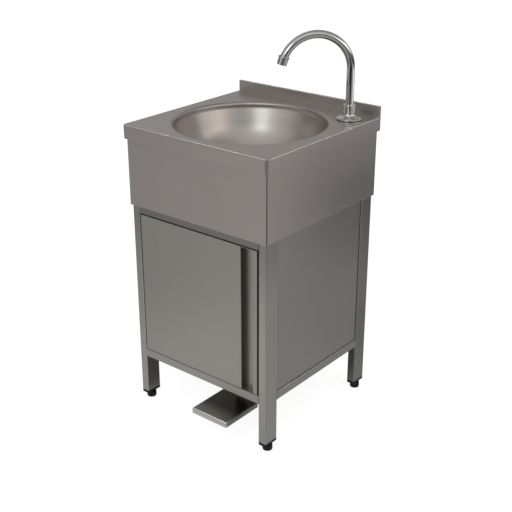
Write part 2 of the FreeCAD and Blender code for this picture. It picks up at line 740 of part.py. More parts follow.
# Magnetic catch on the leg and its strike plate on the door
catch = Solid("magnet_catch")
catch.add("XY", [("rect", leg_xi - 15.0, leg_xi, door_yb + dt + 1.9, door_yb + dt + 24.0)], 372.0, 414.0)
catch.fillet(1.5, lambda e: runs(e, "z") and near(mid(e).x, leg_xi - 15.0))
strike = Solid("strike_plate")
strike.add("XZ", [("rect", q.door_right - 13.0, q.door_right - 1.5, 376.0, 410.0)],
           door_yb + dt, door_yb + dt * 2)

# -------------------------------------------------------------------- pedal
# The tread is a folded tray; the arm under it runs back over the pin, and its
# rear end sits under the valve's plunger.
px0, px1 = q.pedal_x - q.pedal_wide / 2, q.pedal_x + q.pedal_wide / 2
pp_ = Solid("pedal_plate")
pp_.add("XY", [("rect", px0, px1, q.pedal_front, q.pedal_back)],
        q.pedal_top - q.pedal_skirt, q.pedal_top)
pp_.fillet(5.0, lambda e: runs(e, "z") and near(mid(e).y, q.pedal_front))
pp_.cut("XY", [("rect", px0 + q.pedal_thick, px1 - q.pedal_thick, q.pedal_front + q.pedal_thick,
                q.pedal_back + 5.0)], q.pedal_top - q.pedal_skirt, q.pedal_top - q.pedal_thick)
pp_.fillet(4.0, lambda e: near(mid(e).z, q.pedal_top) and not near(mid(e).y, q.pedal_back))

arm_z1 = q.pedal_top - q.pedal_thick
arm_z0 = arm_z1 - q.arm_thick
arm = Solid("pedal_arm")
arm.add("XY", [("rect", q.pedal_x - q.arm_wide / 2, q.pedal_x + q.arm_wide / 2,
                q.pedal_front + 12.0, q.valve_y + 9.0)], arm_z0, arm_z1)
arm.fillet(4.0, lambda e: runs(e, "z"))
arm.add("YZ", [("circle", q.rock_y, q.rock_z, 12.0)], q.pedal_x - 21.7, q.pedal_x + 21.7)
arm.cut("YZ", [("circle", q.rock_y, q.rock_z, q.rock_radius + q.run)],
        q.pedal_x - 21.7, q.pedal_x + 21.7)

br = Solid("pedal_bracket")
br.add("XY", [("rect", q.pedal_x - 42.0, q.pedal_x + 42.0, -134.0, -26.0)], rail_top - 3.0, rail_top)
ear = [("poly", [(-134.0, rail_top - 3.0), (-26.0, rail_top - 3.0), (-26.0, 128.0), (-66.0, 112.0),
                 (-92.0, 70.0), (-126.0, 70.0), (-134.0, 84.0)])]
br.add("YZ", ear, q.pedal_x - 25.0, q.pedal_x - 22.0)
br.add("YZ", ear, q.pedal_x + 22.0, q.pedal_x + 25.0)
# rest stop across the two ears, just above the arm
br.add("XY", [("rect", q.pedal_x - 22.0, q.pedal_x + 22.0, -134.0, -129.0)],
       arm_z1 + 0.35, arm_z1 + 14.0)
br.cut("YZ", [("circle", q.rock_y, q.rock_z, q.rock_radius)], q.pedal_x - 30.0, q.pedal_x + 30.0)
br.cut("XY", [("circle", q.pedal_x, q.valve_y, 10.6)] + [("circle", x, y, 3.05) for x, y in BOLTS],
       rail_top - 3.0, rail_top)

node(fuse("pedal_pin",
          rod("pedal_pin_shank", q.pedal_x - 29.0, q.rock_y, q.rock_z, q.rock_radius, 58.0, "X"),
          rod("pedal_pin_head", q.pedal_x - 33.0, q.rock_y, q.rock_z, 9.0, 4.0, "X"),
          rod("pedal_pin_clip", q.pedal_x + 26.0, q.rock_y, q.rock_z, 8.0, 1.5, "X")), "pedal_pin")

group("bracket_bolts", *[
    fuse("bolt_%d" % i,
         hexagon("bolt_head_%d" % i, x, y, rail_top - 7.0, 10.0, 4.0),
         rod("bolt_shank_%d" % i, x, y, rail_top - 3.0, 3.0, 11.0),
         hexagon("bolt_nut_%d" % i, x, y, floor_top, 10.0, 5.0))
    for i, (x, y) in enumerate(BOLTS)])

# -------------------------------------------------------------------- valve
valve_top = rail_top - 3.0
vb = fuse("valve_outer",
          rod("valve_case", q.pedal_x, q.valve_y, q.valve_low, q.valve_radius, valve_top - q.valve_low),
          rod("valve_outlet", q.pedal_x, q.valve_y, valve_top, q.thread_radius, 30.0),
          rod("valve_inlet", q.pedal_x, q.valve_y, q.inlet_z, 11.0, 30.0, "Y"))
node(cut("valve_body", vb,
         rod("valve_bore", q.pedal_x, q.valve_y, q.valve_low - 1.0, q.plunger_radius + q.run, 42.0),
         rod("valve_way_out", q.pedal_x, q.valve_y, valve_top - 4.0, 6.5, 40.0),
         rod("valve_way_in", q.pedal_x, q.valve_y + 8.0, q.inlet_z, 6.5, 30.0, "Y")), "valve_body")
node(cut("valve_locknut",
         hexagon("locknut_outer", q.pedal_x, q.valve_y, floor_top, 30.0, 7.0),
         rod("locknut_hole", q.pedal_x, q.valve_y, floor_top - 1.0, q.thread_radius, 9.0)),
     "valve_locknut")

# The plunger has a domed tip just above the arm and a collar for the spring
tip = arm_z1 + 0.4
ball = doc.addObject("Part::Sphere", "plunger_dome")
set_length(ball, "Radius", q.plunger_radius)
ball.Placement = Placement(Vector(num(q.pedal_x), num(q.valve_y), num(tip + q.plunger_radius)), Rotation())
for a, value in (("x", q.pedal_x), ("y", q.valve_y), ("z", tip + q.plunger_radius)):
    bind(ball, "Placement.Base." + a, value)
stem_low = tip + q.plunger_radius
node(fuse("valve_plunger",
          ball,
          rod("plunger_stem", q.pedal_x, q.valve_y, stem_low, q.plunger_radius, 55.0),
          rod("plunger_collar", q.pedal_x, q.valve_y, stem_low + 2.0, 10.0, 2.5)), "valve_plunger")

# Return spring: a wire coil between the collar and the valve
spring_low = num(stem_low) + 4.5
spring_high = num(q.valve_low)
wire_r, coil_r, coils = 0.8, 7.6, 4.0
helix = Part.makeHelix((spring_high - spring_low - 2 * wire_r - 0.4) / coils,
                       spring_high - spring_low - 2 * wire_r - 0.4, coil_r)
ring = Part.Wire([Part.makeCircle(wire_r, Vector(coil_r, 0, 0), Vector(0, 1, 0))])
coil = Part.Wire(helix.Edges).makePipeShell([ring], True, True)
spring = doc.addObject("Part::Feature", "return_spring")
spring.Shape = Part.Solid(coil) if coil.ShapeType == "Shell" else coil
spring.Placement = Placement(Vector(num(q.pedal_x), num(q.valve_y), spring_low + wire_r + 0.2), Rotation())
node(spring, "return_spring")

# Supply pipe under the floor, ending in a male half-inch thread at the back
pipe_y0 = q.valve_y + 30.0
node(cut("inlet_pipe",
         fuse("inlet_outer",
              rod("inlet_run", q.pedal_x, pipe_y0, q.inlet_z, 7.5, 250.0 - pipe_y0, "Y"),
              hexagon("inlet_nut", q.pedal_x, pipe_y0, q.inlet_z, 24.0, 12.0, "Y"),
              hexagon("inlet_hex", q.pedal_x, 244.0, q.inlet_z, 24.0, 8.0, "Y"),
              rod("inlet_thread", q.pedal_x, 252.0, q.inlet_z, q.thread_radius, 20.0, "Y")),
         rod("inlet_way", q.pedal_x, pipe_y0 - 1.0, q.inlet_z, 6.3, 300.0, "Y")), "inlet_pipe")
clip = Solid("pipe_clip")
clip.add("XZ", [("rect", q.pedal_x - 12.0, q.pedal_x + 12.0, q.inlet_z - 11.0, rail_top)], 180.0, 196.0)
clip.fillet(6.0, lambda e: runs(e, "y") and near(mid(e).z, q.inlet_z - 11.0))
clip.cut("XZ", [("circle", q.pedal_x, q.inlet_z, 7.5)], 180.0, 196.0)

# -------------------------------------------------------------------- spout
# Trumpet base on a thin gasket; the tube turns in the base and its collar
rb = num(q.base_radius)
rt = num(q.tube_radius + q.run)
z0 = num(q.deck_z)
base = Solid("spout_base")
base.turn([
    ((rt, z0 + 5.0), (rt, z0 + 34.0)),
    ((rt, z0 + 34.0), (16.1, z0 + 34.0)),
    ((16.1, z0 + 34.0), (16.6, z0 + 33.4)),
    ((16.6, z0 + 33.4), (16.6, z0 + 19.0)),
    ((16.6, z0 + 19.0), (19.4, z0 + 11.4), (29.0, z0 + 7.6)),
    ((29.0, z0 + 7.6), (33.8, z0 + 6.2)),
    ((33.8, z0 + 6.2), (rb, z0 + 4.4)),
    ((rb, z0 + 4.4), (rb, z0 + 2.2)),
    ((rb, z0 + 2.2), (rb - 0.7, z0 + 1.5)),
    ((rb - 0.7, z0 + 1.5), (10.7, z0 + 1.5)),
    ((10.7, z0 + 1.5), (10.7, z0 + 5.0)),
    ((10.7, z0 + 5.0), (rt, z0 + 5.0)),
])
base.place(q.tap_x, q.tap_y, 0.0)

gasket = Solid("spout_gasket")
gasket.add("XY", [("circle", 0.0, 0.0, q.base_radius - 1.0), ("circle", 0.0, 0.0, 11.0)],
           q.deck_z, q.deck_z + 1.5)
gasket.place(q.tap_x, q.tap_y, 0.0)

collar = Solid("spout_collar")
collar.add("XY", [("circle", 0.0, 0.0, 18.0), ("circle", 0.0, 0.0, q.tube_radius + q.run)],
           q.deck_z + 34.0, q.deck_z + 41.0)
collar.fillet(2.0, lambda e: e.Length > 95.0)
collar.place(q.tap_x, q.tap_y, 0.0)


def arch_point(angle, radius=None):
    """Point and direction of the spout's centre line, angle in degrees along the arch."""
    R = num(q.arch_radius)
    a, h = math.radians(angle), math.radians(num(q.arch_heading))
    d = Vector(math.cos(h), math.sin(h), 0)
    p = Vector(num(q.tap_x), num(q.tap_y), num(q.arch_z))
    p = p + d * (R - R * math.cos(a)) + Vector(0, 0, R * math.sin(a))
    v = d * math.sin(a) + Vector(0, 0, math.cos(a))
    return p, v


start = Vector(num(q.tap_x), num(q.tap_y), z0 + 5.3)
bend = arch_point(0)[0]
arch_end, end_v = arch_point(num(q.arch_turn))
end_p = arch_end + end_v * num(q.spout_tail)
path = Part.Wire([
    Part.LineSegment(start, bend).toShape(),
    Part.Arc(bend, arch_point(num(q.arch_turn) / 2)[0], arch_end).toShape(),
    Part.LineSegment(arch_end, end_p).toShape(),
])


def pipe(wire, at, along, radius):
    c = Part.Wire([Part.makeCircle(radius, at, along)])
    s = wire.makePipeShell([c], True, False)
    return Part.Solid(s) if s.ShapeType == "Shell" else s


tube = doc.addObject("Part::Feature", "spout_tube")
tube.Shape = pipe(path, start, Vector(0, 0, 1), num(q.tube_radius)).cut(
    pipe(path, start, Vector(0, 0, 1), num(q.tube_bore)))
node(tube, "spout_tube")

# Aerator nut over the end of the tube, with its insert
turn_to = Rotation(Vector(0, 0, 1), end_v)
nut = Solid("aerator_nut")
nut.add("XY", [("circle", 0.0, 0.0, 13.4), ("circle", 0.0, 0.0, q.tube_radius)], -9.5, 8.5)
nut.fillet(1.2, lambda e: e.Length > 80.0 and near(mid(e).z, 8.5))
nut.add("XY", [("circle", 0.0, 0.0, 15.0), ("circle", 0.0, 0.0, q.tube_radius)], -14.0, -9.5)
nut.fillet(1.5, lambda e: e.Length > 90.0)
nut.body.Placement = Placement(end_p, turn_to)
insert = Solid("aerator_insert")
insert.add("XY", [("circle", 0.0, 0.0, q.tube_radius - 0.1)], 0.2, 6.5)
insert.cut("XY", [("circle", 0.0, 0.0, 9.0)], 5.0, 6.5)
insert.body.Placement = Placement(end_p, turn_to)

# Threaded stem through the deck, washer and nut below it
shank = cut("spout_shank",
            rod("shank_thread", q.tap_x, q.tap_y, q.deck_z - 62.0, q.thread_radius, 62.0 + 4.0),
            rod("shank_way", q.tap_x, q.tap_y, q.deck_z - 63.0, 7.0, 80.0))
node(shank, "spout_shank")
node(cut("shank_nut",
         fuse("shank_nut_outer",
              rod("shank_washer", q.tap_x, q.tap_y, under - 2.0, 20.0, 2.0),
              hexagon("shank_hex", q.tap_x, q.tap_y, under - 12.0, 30.0, 10.0)),
         rod("shank_nut_hole", q.tap_x, q.tap_y, under - 13.0, q.thread_radius, 14.0)), "shank_nut")

# Braided riser hose from the valve to the spout, held at both ends
hose_low = num(valve_top) + 30.0
hose_high = num(q.deck_z) - 62.0
A = Vector(num(q.pedal_x), num(q.valve_y), hose_low)
Bp = Vector(num(q.pedal_x), num(q.valve_y), hose_low + 120.0)
C = Vector(num(q.tap_x), num(q.tap_y), hose_high - 170.0)
D = Vector(num(q.tap_x), num(q.tap_y), hose_high)


def rounded(points):
    """Straight runs joined by tangent arcs."""
    edges, last = [], points[0]
    for i in range(1, len(points) - 1):
        p, a, b = points[i], points[i - 1], points[i + 1]
        u, v = (a - p), (b - p)
        lu, lv = u.Length, v.Length
        u, v = u / lu, v / lv
        turn = math.pi - u.getAngle(v)
        cutback = 0.45 * min(lu, lv)
        radius = cutback / math.tan(turn / 2)
        s, e = p + u * cutback, p + v * cutback
        bis = (u + v) / (u + v).Length
        centre = p + bis * math.sqrt(cutback ** 2 + radius ** 2)
        m = centre - bis * radius
        edges.append(Part.LineSegment(last, s).toShape())
        edges.append(Part.Arc(s, m, e).toShape())
        print("hose bend radius", round(radius, 1))
        last = e
    edges.append(Part.LineSegment(last, points[-1]).toShape())
    return Part.Wire(edges)


route = rounded([A, Bp, C, D])
hose = doc.addObject("Part::Feature", "riser_hose")
hose.Shape = pipe(route, A, Vector(0, 0, 1), 6.2)
print("hose volume / section x length", round(hose.Shape.Volume / (math.pi * 6.2 ** 2 * route.Length), 4))
node(hose, "riser_hose")
group("hose_nuts",
      cut("hose_nut_low", hexagon("hose_nut_low_outer", q.pedal_x, q.valve_y, valve_top + 16.0, 24.0, 20.0),
          rod("hose_nut_low_hole", q.pedal_x, q.valve_y, valve_top + 15.0, q.thread_radius, 15.0),
          rod("hose_nut_low_way", q.pedal_x, q.valve_y, valve_top + 15.0, 6.2, 30.0)),
      cut("hose_nut_high", hexagon("hose_nut_high_outer", q.tap_x, q.tap_y, q.deck_z - 68.0, 24.0, 20.0),
          rod("hose_nut_high_hole", q.tap_x, q.tap_y, q.deck_z - 62.0, q.thread_radius, 20.0),
          rod("hose_nut_high_way", q.tap_x, q.tap_y, q.deck_z - 70.0, 6.2, 30.0)))

# -------------------------------------------------------------------- waste
# Perforated strainer in the bowl's seat, clamped by a tail and nut below
fz = num(q.bowl_floor)
st = Solid("waste_strainer")
st.turn([
    ((0.0, fz), (num(q.waste_hole) + 8.5, fz)),
    ((num(q.waste_hole) + 8.5, fz), (num(q.waste_hole) + 8.5, fz + 1.0)),
    ((num(q.waste_hole) + 8.5, fz + 1.0), (num(q.waste_hole) + 6.5, fz + 2.6), (27.0, fz + 3.2)),
    ((27.0, fz + 3.2), (22.0, fz + 1.8)),
    ((22.0, fz + 1.8), (0.0, fz + 1.8)),
    ((0.0, fz + 1.8), (0.0, fz)),
])
first = st.sketch("XY", Q.of(fz + 8.0), [("circle", 16.0, 0.0, 3.6)])
hole_f = st.body.newObject("PartDesign::Pocket", "strainer_hole")
hole_f.Profile = first
hole_f.Length = 10.0
doc.recompute()
pat = st.body.newObject("PartDesign::PolarPattern", "strainer_holes")
pat.Originals = [hole_f]
pat.Axis = (first, ["N_Axis"])
pat.Angle = 360.0
pat.Occurrences = 8
st.body.Tip = pat
doc.recompute()
st.place(0.0, q.bowl_y, 0.0)

wg = Solid("waste_gasket")
wg.add("XY", [("circle", 0.0, 0.0, 33.0), ("circle", 0.0, 0.0, 24.5)],
       q.bowl_floor - q.bowl_thick - 3.0, q.bowl_floor - q.bowl_thick)
wg.place(0.0, q.bowl_y, 0.0)
wt = Solid("waste_tail")
wt.add("XY", [("circle", 0.0, 0.0, 24.5), ("circle", 0.0, 0.0, 21.5)], 636.0, q.bowl_floor)
wt.add("XY", [("circle", 0.0, 0.0, 24.5), ("circle", 0.0, 0.0, 16.0)], 633.0, 636.0)
wt.add("XY", [("circle", 0.0, 0.0, 18.0), ("circle", 0.0, 0.0, 16.0)], 590.0, 633.0)
wt.place(0.0, q.bowl_y, 0.0)
wn_ = Solid("waste_nut")
wn_.add("XY", [("circle", 0.0, 0.0, 34.0), ("circle", 0.0, 0.0, 24.5)],
        q.bowl_floor - q.bowl_thick - 12.0, q.bowl_floor - q.bowl_thick - 3.0)
wn_.cut("XY", [("rect", 31.0, 36.0, -3.0, 3.0), ("rect", -36.0, -31.0, -3.0, 3.0),
               ("rect", -3.0, 3.0, 31.0, 36.0), ("rect", -3.0, 3.0, -36.0, -31.0)],
        q.bowl_floor - q.bowl_thick - 12.0, q.bowl_floor - q.bowl_thick - 3.0)
wn_.place(0.0, q.bowl_y, 0.0)

# Bottle trap with a screw-off cup, and the outlet pipe to the wall
tn = Solid("trap_nut")
tn.add("XY", [("circle", 0.0, 0.0, 27.0), ("circle", 0.0, 0.0, 18.0)], 592.0, 612.0)
tn.chamfer(2.0, lambda e: near(mid(e).z, 612.0) and e.Length > 120)
tn.place(0.0, q.bowl_y, 0.0)
tb = Solid("trap_body")
tb.add("XY", [("circle", 0.0, 0.0, 31.0)], 478.0, 592.0)
tb.fillet(6.0, lambda e: near(mid(e).z, 592.0))
tb.add("XZ", [("circle", 0.0, q.trap_z, 25.0)], 0.0, 52.0)
tb.cut("XY", [("circle", 0.0, 0.0, 28.5)], 478.0, 588.0)
tb.cut("XY", [("circle", 0.0, 0.0, 18.05)], 585.0, 592.0)
tb.cut("XZ", [("circle", 0.0, q.trap_z, q.waste_radius)], 20.0, 52.0)
tb.place(0.0, q.bowl_y, 0.0)
tc = Solid("trap_cup")
tc.add("XY", [("circle", 0.0, 0.0, 34.5)], 440.0, 492.0)
tc.fillet(8.0, lambda e: near(mid(e).z, 440.0))
tc.cut("XY", [("circle", 0.0, 0.0, 31.0)], 478.0, 492.0)
tc.cut("XY", [("circle", 0.0, 0.0, 28.5)], 444.0, 478.0)
tc.place(0.0, q.bowl_y, 0.0)
wp = Solid("waste_pipe")
wp.add("XZ", [("circle", 0.0, q.trap_z, q.waste_radius), ("circle", 0.0, q.trap_z, q.waste_radius - 1.8)],
       q.bowl_y + 32.0, q.back_y - 3.0)
# rolled bead: a connector pushes on as far as this
wp.add("XZ", [("circle", 0.0, q.trap_z, q.waste_radius + 1.8), ("circle", 0.0, q.trap_z, q.waste_radius - 1.8)],
       221.0, 224.0)

# ------------------------------------------------------------------- export
doc.recompute()
bad = [o.Name for o in doc.Objects if "Invalid" in o.State or "Error" in o.State]
if bad:
    raise RuntimeError("failed objects: %s" % bad)
for label, obj in NODES.items():
    s = obj.Shape
    if s.isNull() or not s.isValid() or not s.Solids:
        raise RuntimeError("bad shape: %s" % label)
if len(NODES) > 60:
    raise RuntimeError("too many nodes: %d" % len(NODES))
whole = None
for label, obj in NODES.items():
    obj.Shape.exportStep("parts/%s.step" % label)
    bb = obj.Shape.BoundBox
    whole = bb if whole is None else whole.united(bb)
print("nodes", len(NODES))
print("box", [round(v, 2) for v in (whole.XMin, whole.XMax, whole.YMin, whole.YMax, whole.ZMin, whole.ZMax)])
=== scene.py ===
import math

import bmesh
import bpy
from mathutils import Matrix, Vector


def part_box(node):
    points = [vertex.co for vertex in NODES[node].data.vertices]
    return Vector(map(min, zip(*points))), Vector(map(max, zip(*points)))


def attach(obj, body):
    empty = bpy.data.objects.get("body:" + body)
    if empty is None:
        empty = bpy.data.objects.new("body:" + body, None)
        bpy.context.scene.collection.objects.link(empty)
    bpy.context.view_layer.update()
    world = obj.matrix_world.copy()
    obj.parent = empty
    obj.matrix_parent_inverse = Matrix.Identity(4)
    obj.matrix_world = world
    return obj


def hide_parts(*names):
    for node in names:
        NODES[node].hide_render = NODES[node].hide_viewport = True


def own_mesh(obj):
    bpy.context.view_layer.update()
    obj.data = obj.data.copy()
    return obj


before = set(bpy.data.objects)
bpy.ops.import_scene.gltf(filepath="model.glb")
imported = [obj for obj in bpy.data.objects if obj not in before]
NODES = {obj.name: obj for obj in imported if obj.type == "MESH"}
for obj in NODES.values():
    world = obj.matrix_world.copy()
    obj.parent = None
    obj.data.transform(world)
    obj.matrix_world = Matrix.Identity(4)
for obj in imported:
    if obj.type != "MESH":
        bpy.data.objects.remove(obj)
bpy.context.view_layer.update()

scene = bpy.context.scene

# ---------------------------------------------------------------------------
# Camera: seen from the front right, a little above the worktop
# ---------------------------------------------------------------------------
CAMERA_AT = Vector((1.6262, -1.9635, 1.5628))
CAMERA_AZ, CAMERA_EL = math.radians(39.08), math.radians(23.43)

camera_data = bpy.data.cameras.new("camera")
camera_data.sensor_width = 36.0
camera_data.sensor_height = 36.0
camera_data.lens = 68.38
camera_data.clip_start, camera_data.clip_end = 0.05, 60.0
camera = bpy.data.objects.new("camera", camera_data)
scene.collection.objects.link(camera)
forward = Vector((-math.sin(CAMERA_AZ) * math.cos(CAMERA_EL),
                  math.cos(CAMERA_AZ) * math.cos(CAMERA_EL),
                  -math.sin(CAMERA_EL)))
camera.rotation_mode = "QUATERNION"
camera.location = CAMERA_AT
camera.rotation_quaternion = forward.to_track_quat("-Z", "Y")
scene.camera = camera

scene.view_settings.view_transform = "Standard"
scene.view_settings.look = "None"
scene.view_settings.exposure = 0.0
scene.view_settings.gamma = 1.0


# ---------------------------------------------------------------------------
# Small helpers for node materials
# ---------------------------------------------------------------------------
class Shader:
    """A node material with one Principled surface, built up step by step."""

    def __init__(self, name):
        self.mat = bpy.data.materials.new(name)
        self.mat.use_nodes = True
        self.tree = self.mat.node_tree
        self.tree.nodes.clear()
        self.out = self.new("ShaderNodeOutputMaterial")
        self.bsdf = self.new("ShaderNodeBsdfPrincipled")
        self.link(self.bsdf.outputs["BSDF"], self.out.inputs["Surface"])
        self.coord = self.new("ShaderNodeTexCoord").outputs["Object"]

    def new(self, kind, **settings):
        n = self.tree.nodes.new(kind)
        for key, value in settings.items():
            setattr(n, key, value)
        return n

    def link(self, a, b):
        self.tree.links.new(a, b)

    def put(self, socket, value):
        """A plain value goes on the shader's own socket, a socket is linked."""
        self.feed(self.bsdf.inputs[socket], value)

    def feed(self, target, value):
        if isinstance(value, bpy.types.NodeSocket):
            self.link(value, target)
        else:
            target.default_value = value

    def math(self, op, a, b=None, c=None, clamp=False):
        n = self.new("ShaderNodeMath", operation=op, use_clamp=clamp)
        for i, v in enumerate((a, b, c)):
            if v is not None:
                self.feed(n.inputs[i], v)
        return n.outputs[0]

    def axes(self, vector=None):
        n = self.new("ShaderNodeSeparateXYZ")
        self.link(vector or self.coord, n.inputs[0])
        return n.outputs

    def vector(self, x, y, z):
        n = self.new("ShaderNodeCombineXYZ")
        for i, v in enumerate((x, y, z)):
            self.feed(n.inputs[i], v)
        return n.outputs[0]

    def stretched(self, scale, offset=(0, 0, 0), vector=None):
        n = self.new("ShaderNodeMapping")
        n.inputs["Scale"].default_value = scale
        n.inputs["Location"].default_value = offset
        self.link(vector or self.coord, n.inputs["Vector"])
        return n.outputs[0]

    def noise(self, scale, vector=None, detail=3.0, rough=0.5, distort=0.0):
        n = self.new("ShaderNodeTexNoise")
        n.inputs["Scale"].default_value = scale
        n.inputs["Detail"].default_value = detail
        n.inputs["Roughness"].default_value = rough
        n.inputs["Distortion"].default_value = distort
        self.link(vector or self.coord, n.inputs["Vector"])
        return n.outputs["Fac"]

    def span(self, value, low, high, lo=0.0, hi=1.0, smooth=False):
        """value from lo..hi becomes low..high, clamped."""
        n = self.new("ShaderNodeMapRange", clamp=True)
        if smooth:
            n.interpolation_type = "SMOOTHSTEP"
        self.link(value, n.inputs["Value"])
        for key, v in (("From Min", lo), ("From Max", hi), ("To Min", low), ("To Max", high)):
            n.inputs[key].default_value = v
        return n.outputs["Result"]

    def mix(self, factor, a, b):
        n = self.new("ShaderNodeMix", data_type="RGBA")
        self.feed(n.inputs["Factor"], factor)
        self.feed(n.inputs["A"], a if isinstance(a, bpy.types.NodeSocket) else (*a, 1.0))
        self.feed(n.inputs["B"], b if isinstance(b, bpy.types.NodeSocket) else (*b, 1.0))
        return n.outputs["Result"]

    def mixf(self, factor, a, b):
        n = self.new("ShaderNodeMix", data_type="FLOAT")
        self.feed(n.inputs["Factor"], factor)
        self.feed(n.inputs["A"], a)
        self.feed(n.inputs["B"], b)
        return n.outputs["Result"]

    def bump(self, height, distance, strength=1.0, below=None):
        n = self.new("ShaderNodeBump")
        n.inputs["Distance"].default_value = distance
        n.inputs["Strength"].default_value = strength
        self.link(height, n.inputs["Height"])
        if below is not None:
            self.link(below, n.inputs["Normal"])
        return n.outputs["Normal"]

    def normals(self, value):
        self.link(value, self.bsdf.inputs["Normal"])

    def facing(self, axis):
        """1 where the surface looks along the axis (0 X, 1 Y, 2 Z), 0 elsewhere."""
        geo = self.new("ShaderNodeNewGeometry")
        # the normal is taken to the object's own axes, so that it turns with the body
        turn = self.new("ShaderNodeVectorTransform", vector_type="NORMAL",
                        convert_from="WORLD", convert_to="OBJECT")
        self.link(geo.outputs["Normal"], turn.inputs[0])
        return self.span(self.math("ABSOLUTE", self.axes(turn.outputs[0])[axis]), 0.0, 1.0, 0.55, 0.8)


def satin(name, tint, rough=0.38, grain="x", fine=1300.0, streak=0.010, cloud=0.012, shade=None):
    """Satin stainless sheet. The brushing runs along one axis, and turns down the folded
    lips whose faces look along that axis. shade is (axis, low, high, factor): painted
    light and shade, the sheet's tone goes to the factor between those heights."""
    s = Shader(name)
    along, across = 6.0, fine
    number = {"x": 0, "y": 1, "z": 2}
    main = [across] * 3
    main[number[grain]] = along
    turned = [across] * 3
    turned[{"x": 2, "y": 2, "z": 0}[grain]] = along
    a_fine = s.noise(1.0, s.stretched(main), detail=2.0, rough=0.6)
    b_fine = s.noise(1.0, s.stretched(turned), detail=2.0, rough=0.6)
    wide = lambda scales: [c * 0.13 if c == across else 2.0 for c in scales]
    a_wide = s.noise(1.0, s.stretched(wide(main), (3.1, 1.7, 0.4)), detail=3.0)
    b_wide = s.noise(1.0, s.stretched(wide(turned), (0.3, 5.1, 2.4)), detail=3.0)
    side = s.facing(number[grain])
    lines = s.mixf(side, a_fine, b_fine)
    bands = s.mixf(side, a_wide, b_wide)
    clouds = s.noise(3.0, s.stretched((1, 1, 1), (7.3, 2.2, 4.8)), detail=3.0, rough=0.55)
    smudge = s.noise(15.0, s.stretched((1, 1, 1), (1.3, 8.2, 0.8)), detail=5.0, rough=0.6, distort=0.4)
    tone = s.math("ADD", s.span(bands, -streak, streak, 0.3, 0.7), s.span(clouds, -cloud, cloud, 0.3, 0.7))
    tone = s.math("ADD", tone, s.span(lines, -0.02, 0.02, 0.25, 0.75))
    factor = s.math("ADD", tone, 1.0)
    # painted light and shade: the base colour is scaled towards the shade factor along one object axis
    if shade:
        factor = s.math("MULTIPLY", factor, s.span(s.axes()[shade[0]], 1.0, shade[3], shade[1], shade[2], smooth=True))
    s.put("Base Color", s.mix(s.math("MULTIPLY", factor, 0.5), (0, 0, 0), tuple(2.0 * c for c in tint)))
    s.put("Metallic", 1.0)
    r = s.math("ADD", s.span(lines, rough - 0.03, rough + 0.03, 0.25, 0.75), s.span(smudge, -0.015, 0.02, 0.35, 0.7))
    s.put("Roughness", s.math("ADD", r, s.span(bands, -0.01, 0.01, 0.3, 0.7)))
    wavy = s.bump(s.noise(2.6, s.stretched((1, 1, 1), (4.4, 0.2, 9.8)), detail=1.0), 0.0008)
    s.normals(s.bump(lines, 0.00002, 0.5, wavy))
    return s.mat


def spun(name, tint, rough, centre_y=0.015, round_about=0.55):
    """Spun and polished sheet: the brushing goes round the bowl's own axis, so a light
    draws out into a soft streak across it."""
    s = Shader(name)
    x, y, z = s.axes(s.stretched((1, 1, 1), (0.0, -centre_y, 0.0)))
    radius = s.math("SQRT", s.math("ADD", s.math("MULTIPLY", x, x), s.math("MULTIPLY", y, y)))
    turn = s.math("ARCTAN2", y, x)
    lines = s.noise(1.0, s.vector(s.math("MULTIPLY", radius, 1000.0), s.math("MULTIPLY", z, 1000.0),
                                  s.math("MULTIPLY", turn, 1.6)), detail=2.0, rough=0.6)
    bands = s.noise(1.0, s.vector(s.math("MULTIPLY", radius, 120.0), s.math("MULTIPLY", z, 120.0),
                                  s.math("MULTIPLY", turn, 0.9)), detail=3.0)
    clouds = s.noise(5.0, detail=4.0)
    tone = s.math("ADD", s.span(lines, -0.015, 0.015, 0.25, 0.75), s.span(bands, -0.012, 0.012, 0.3, 0.7))
    tone = s.math("ADD", tone, s.span(clouds, -0.012, 0.012, 0.3, 0.7))
    s.put("Base Color", s.mix(s.math("MULTIPLY", s.math("ADD", tone, 1.0), 0.5), (0, 0, 0), tuple(2.0 * c for c in tint)))
    s.put("Metallic", 1.0)
    s.put("Roughness", s.math("ADD", s.span(lines, rough - 0.03, rough + 0.03, 0.25, 0.75),
                              s.span(clouds, -0.015, 0.015, 0.3, 0.7)))
    s.put("Anisotropic", round_about)
    around = s.new("ShaderNodeVectorMath", operation="NORMALIZE")
    s.link(s.vector(s.math("MULTIPLY", y, -1.0), x, 0.0), around.inputs[0])
    s.link(around.outputs[0], s.bsdf.inputs["Tangent"])
    s.normals(s.bump(lines, 0.00002, 0.5))
    return s.mat


def chrome(name):
    s = Shader(name)
    smear = s.noise(26.0, detail=5.0, rough=0.62, distort=0.6)
    spots = s.noise(420.0, detail=2.0)
    s.put("Base Color", s.mix(s.span(smear, 0.0, 1.0, 0.35, 0.7), (0.63, 0.63, 0.622), (0.69, 0.686, 0.674)))
    s.put("Metallic", 1.0)
    s.put("Roughness", s.math("ADD", s.span(smear, 0.032, 0.06, 0.35, 0.7), s.span(spots, -0.006, 0.006)))
    s.normals(s.bump(s.noise(60.0, detail=2.0), 0.00004, 0.4))
    return s.mat


def plated(name):
    s = Shader(name)
    flakes = s.new("ShaderNodeTexVoronoi")
    flakes.inputs["Scale"].default_value = 160.0
    s.link(s.coord, flakes.inputs["Vector"])
    tone = s.new("ShaderNodeSeparateColor")
    s.link(flakes.outputs["Color"], tone.inputs[0])
    clouds = s.noise(38.0, detail=4.0)
    f = s.math("ADD", s.math("MULTIPLY", tone.outputs[0], 0.5), s.math("MULTIPLY", clouds, 0.5))
    s.put("Base Color", s.mix(f, (0.40, 0.405, 0.41), (0.56, 0.56, 0.55)))
    s.put("Metallic", 1.0)
    s.put("Roughness", s.span(f, 0.28, 0.46, 0.2, 0.8))
    s.normals(s.bump(s.noise(700.0, detail=2.0), 0.00004, 0.5))
    return s.mat


